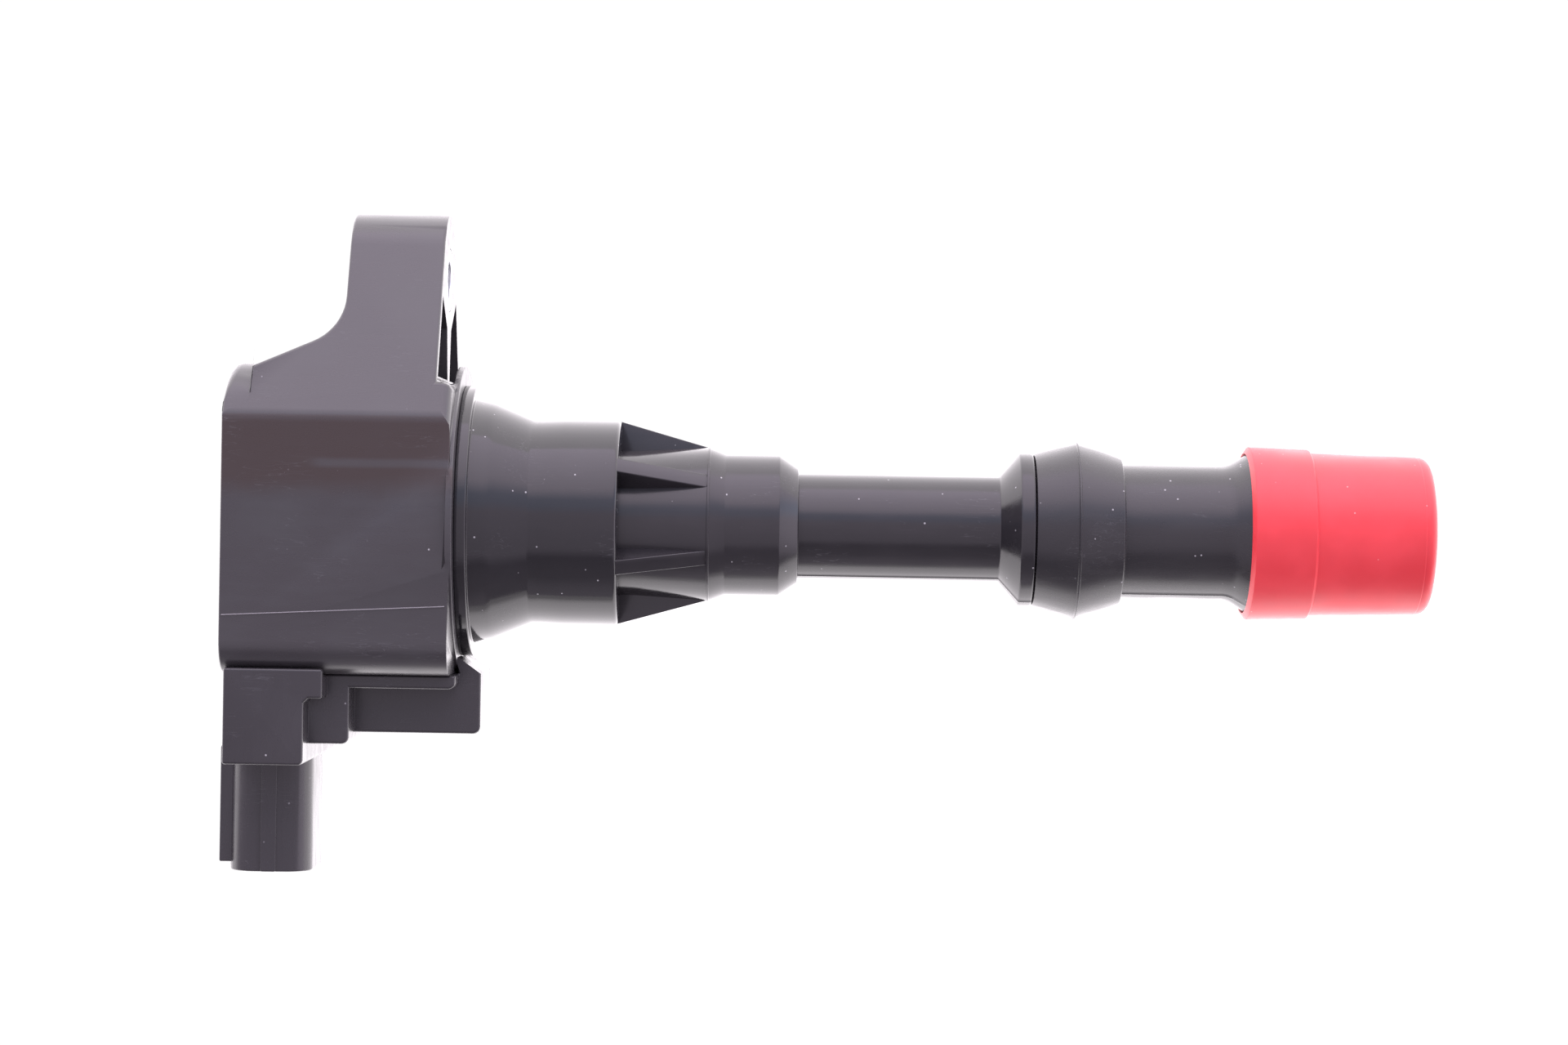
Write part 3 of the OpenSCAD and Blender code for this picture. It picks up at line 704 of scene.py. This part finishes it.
def extension_tube():
    """Finned core, stepped sleeve, long shaft and the flared rim that the boot butts on."""
    rim_r = 11.7
    outline = rounded([
        (SOCKET_X, NECK_R, 0), (SOCKET_X, CORE_R, 0), (SEAL_END_X + 2.2, CORE_R, 14),
        (FIN_END_X - 0.15, BAND_R, 0), (FIN_END_X - 0.1, BAND_R + 0.18, 0.05),
        (FIN_END_X + 0.2, BAND_R + 0.18, 0.05), (FIN_END_X + 0.25, BAND_R, 0.02),
        (FIN_END_X + 2.6, FIN_SLEEVE_R, 0.6), (SHAFT_X - 2.95, FIN_SLEEVE_R, 0.45),
        (SHAFT_X - 0.1, 8.8, 0.25),
        (SHAFT_X, SHAFT_R, 0.05), (BOOT_X - 5.25, SHAFT_R, 0.4), (BOOT_X - 2.2, rim_r, 0.5),
        (BOOT_X - 0.1, rim_r, 0.45), (BOOT_X - 0.1, SPIGOT_R, 0), (TUBE_END_X, SPIGOT_R, 0.3),
        (TUBE_END_X, ROD_BORE_R, 0.3), (SEAL_END_X + 8.0, ROD_BORE_R, 0),
        (SEAL_END_X + 8.0, PASSAGE_R, 0), (SEAL_END_X - 8.0, PASSAGE_R, 0),
        (SEAL_END_X - 6.8, PASSAGE_R, 0), (SEAL_END_X - 6.8, NECK_R, 0)])
    bm = bmesh.new()
    verts = turned(bm, outline, steps=180, start=math.pi - PARTING_ANGLE)
    flash_line(verts, math.pi - PARTING_ANGLE, 0.14, SHAFT_X, BOOT_X - 0.3, 7)
    for i in range(FIN_COUNT):
        fin(bm, math.radians(FIN_TURN + 360 / FIN_COUNT * i))
    finished(bm, "extension_tube_moulding", TUBE, ["extension_tube"],
             crease=28, weighted=False)


# --------------------------------------------------------------------- boot

def plug_boot():
    """Black boot: a ridged grip, a plain sleeve and a flare inside the red tip."""
    outline = rounded([
        (BOOT_X, SPIGOT_R, 0), (BOOT_X, 11.5, 0.35), (BOOT_X + 6.2, RIDGE_R - 0.3, 0.05),
        (BOOT_X + 6.3, RIDGE_R, 0.05), (BOOT_X + 6.55, RIDGE_R, 0.05),
        (BOOT_X + 6.65, RIDGE_R - 0.3, 0.05), (STEP_X - 0.15, 11.1, 0.35), (STEP_X, BOOT_R, 0.1),
        (TIP_X - 2.4, BOOT_R, 3.6), (TIP_X + 0.6, TIP_BORE_R, 0.1), (BOOT_END_X, TIP_BORE_R, 0),
        (BOOT_END_X, PLUG_R, 0), (-PLUG_DEPTH, PLUG_R, 0), (-PLUG_DEPTH, CHANNEL_R, 0),
        (TUBE_END_X, CHANNEL_R, 0), (TUBE_END_X, SPIGOT_R, 0)])
    bm = bmesh.new()
    verts = turned(bm, outline, steps=180, start=math.pi - PARTING_ANGLE)
    flash_line(verts, math.pi - PARTING_ANGLE, 0.16, STEP_X, TIP_X - 1, 9)
    finished(bm, "plug_boot_rubber", BOOT, ["plug_boot"], weighted=False)


def boot_tip():
    """Red tip: a collar with a flared lip, a step and a rounded mouth."""
    x = TIP_X
    outline = rounded([
        (BOOT_END_X, PLUG_R, 0), (BOOT_END_X, TIP_BORE_R, 0), (x + 0.6, TIP_BORE_R, 0.1),
        (x + 0.1, 12.15, 0.1), (x + 0.75, TIP_R, 0.2), (x + 9.75, 12.8, 0.2),
        (x + 10.1, 12.3, 0.1), (-1.9, TIP_MOUTH_R + 0.03, 0.1), (-1.75, TIP_MOUTH_R - 0.03, 0.1),
        (0, TIP_MOUTH_R, 1.5), (0, PLUG_R, 0.5)])
    bm = bmesh.new()
    turned(bm, outline, steps=180)
    finished(bm, "boot_tip_silicone", TIP, ["boot_tip"], weighted=False)


def contact_spring():
    """Round wire: closed end turns and six open ones."""
    wire = 0.35
    radius = SPRING_HIGH.z - wire
    bm = bmesh.new()
    ring = bmesh.ops.create_circle(bm, cap_ends=True, radius=wire, segments=12)["verts"]
    bmesh.ops.rotate(bm, cent=(0, 0, 0), matrix=Matrix.Rotation(math.radians(90), 3, "X"),
                     verts=ring)
    start_x = SPRING_LOW.x + wire + 0.02
    bmesh.ops.translate(bm, vec=(start_x, radius, 0), verts=ring)
    closed, steps, open_turns = 2 * wire, 32, 6
    room = (SPRING_HIGH.x - SPRING_LOW.x) - 2 * wire - 0.1 - 2 * closed
    geom = bm.verts[:] + bm.edges[:] + bm.faces[:]
    for turns, pitch in ((1, closed), (open_turns, room / open_turns), (1, closed)):
        made = bmesh.ops.spin(bm, geom=geom, cent=(0, 0, 0), axis=(1, 0, 0),
                              dvec=(pitch / steps, 0, 0), angle=TURN * turns,
                              steps=steps * turns, use_merge=False, use_duplicate=False)
        geom = made["geom_last"]
    bmesh.ops.recalc_face_normals(bm, faces=bm.faces)
    piece = finished(bm, "contact_spring_wire", SPRING, ["contact_spring"],
                     weighted=False)
    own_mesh(piece)


def plug_contact():
    """Turned brass cup that the spring presses on the spark plug."""
    waist, bore = 2.7, 1.9
    low, high, rim = CONTACT_LOW.x, CONTACT_HIGH.x, CONTACT_HIGH.z
    outline = rounded([
        (low, 0, 0), (low, rim, 0.2), (low + 1.2, rim, 0.2), (low + 1.2, waist, 0.1),
        (high - 1.6, waist, 0.1), (high - 1.6, rim, 0.2), (high, rim, 0.3), (high, bore, 0.2),
        (high - 1.4, bore, 0.2), (high - 1.4, 0, 0)], 3)
    bm = bmesh.new()
    turned(bm, outline, steps=72)
    finished(bm, "plug_contact_brass", BRASS, ["plug_contact"],
             body="contact")


def inner_parts():
    """The sealed parts keep their CAD shapes and get their own finishes."""
    finishes = {
        "centre_core": CORE, "ring_core": CORE, "bias_magnet": FERRITE,
        "primary_bobbin": BOBBIN, "secondary_bobbin": BOBBIN, "primary_winding": COPPER,
        "secondary_winding": FINE_COPPER, "igniter_module": CHIP, "heat_plate": ALUMINIUM,
        "igniter_leads": PLATED, "hv_diode": CHIP, "hv_terminal": BRASS,
        "joint_gasket": GASKET, "resistor_body": CERAMIC, "resistor_caps": BRASS,
        "hv_rod": PLATED, "spring_seat": BRASS}
    for node, material in finishes.items():
        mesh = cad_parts[node].data
        mesh.materials.clear()
        mesh.materials.append(material)


# ------------------------------------------------------- floor, light, camera

WHITE = 1.05                           # strength at which the surround is plain white


def floor():
    """A plain white floor. It is evenly white to look at and lights the coil from below."""
    bm = bmesh.new()
    bmesh.ops.create_grid(bm, x_segments=1, y_segments=1, size=4.0)
    bmesh.ops.translate(bm, vec=(0, 0, cad_bounds[0].z), verts=bm.verts)
    mesh = bpy.data.meshes.new("floor")
    bm.to_mesh(mesh)
    bm.free()
    f = Finish("floor_white", {})
    near_ear = f.part(1).step(-0.4, -0.12)
    glow = rgb(1, 0.95, 0.99)
    dim = f.place.node("Emission", {}, {"Color": glow, "Strength": 1.3})
    bright = f.place.node("Emission", {}, {"Color": glow, "Strength": 2.9})
    lit = f.place.node("MixShader", {}, {0: near_ear, 1: dim, 2: bright})
    white = f.place.node("Emission", {}, {"Color": rgb(1, 1, 1), "Strength": WHITE})
    seen = f.place.node("LightPath", {}, {}, out=0)
    shown = f.place.node("MixShader", {}, {0: seen, 1: lit, 2: white})
    f.tree.links.new(shown.socket, f.tree.nodes["Material Output"].inputs["Surface"])
    mesh.materials.append(f.material)
    plane = bpy.data.objects.new("floor", mesh)
    bpy.context.scene.collection.objects.link(plane)


def studio():
    """Soft light that is brightest on the ear's side, over a white surround."""
    world = bpy.data.worlds.new("studio")
    bpy.context.scene.world = world
    world.use_nodes = True
    tree = world.node_tree
    tree.nodes.clear()
    wire = Wire(tree)
    direction = wire.node("TexCoord", {}, {}, out=0)
    side = wire.node("SeparateXYZ", {}, {0: direction}, out=1)
    brightest = 4.0
    plain, cool = (1.0, 0.9, 1.05), (0.9, 0.97, 1.25)
    levels = ((-1.0, 0.8, plain), (-0.9, 0.45, plain), (-0.64, 0.32, plain), (-0.5, 0.85, plain),
              (0.15, 1.05, plain), (0.3, 1.1, cool), (0.42, 1.2, cool), (0.6, 2.6, plain),
              (0.85, 3.3, plain), (1.0, 3.8, plain))
    stops = [((place + 1) / 2, tuple(level * part / brightest for part in tint) + (1,))
             for place, level, tint in levels]
    glow = wire.node("ValToRGB", {"stops": stops}, {0: side * 0.5 + 0.5})
    ahead = wire.node("SeparateXYZ", {}, {0: direction}, out=0).step(0.8, 0.95)
    around = wire.node("Background", {}, {"Color": glow, "Strength": brightest})
    past_tip = wire.node("Background", {}, {"Color": glow, "Strength": brightest * 2.3})
    light = wire.node("MixShader", {}, {0: ahead, 1: around, 2: past_tip})
    white = wire.node("Background", {}, {"Color": rgb(1, 1, 1), "Strength": WHITE})
    seen = wire.node("LightPath", {}, {}, out=0)
    mixed = wire.node("MixShader", {}, {0: seen, 1: light, 2: white})
    wire.node("OutputWorld", {}, {0: mixed})
    bpy.context.scene.view_settings.view_transform = "Standard"


def camera():
    """Looks straight down on the coil, from just behind its middle."""
    data = bpy.data.cameras.new("camera")
    data.sensor_width = 36
    data.lens = 83.3
    data.clip_start = 0.01
    cam = bpy.data.objects.new("camera", data)
    cam.location = (-0.0976, 0.0005, 0.552)
    cam.rotation_euler = (0, 0, math.radians(0.93))
    bpy.context.scene.collection.objects.link(cam)
    bpy.context.scene.camera = cam


camera()
studio()
floor()
coil_case()
bolt_sleeve()
potting()
connector_housing()
for pin in ("power_pin", "ground_pin", "trigger_pin"):
    terminal(pin)
well_seal()
extension_tube()
plug_boot()
boot_tip()
contact_spring()
plug_contact()
inner_parts()
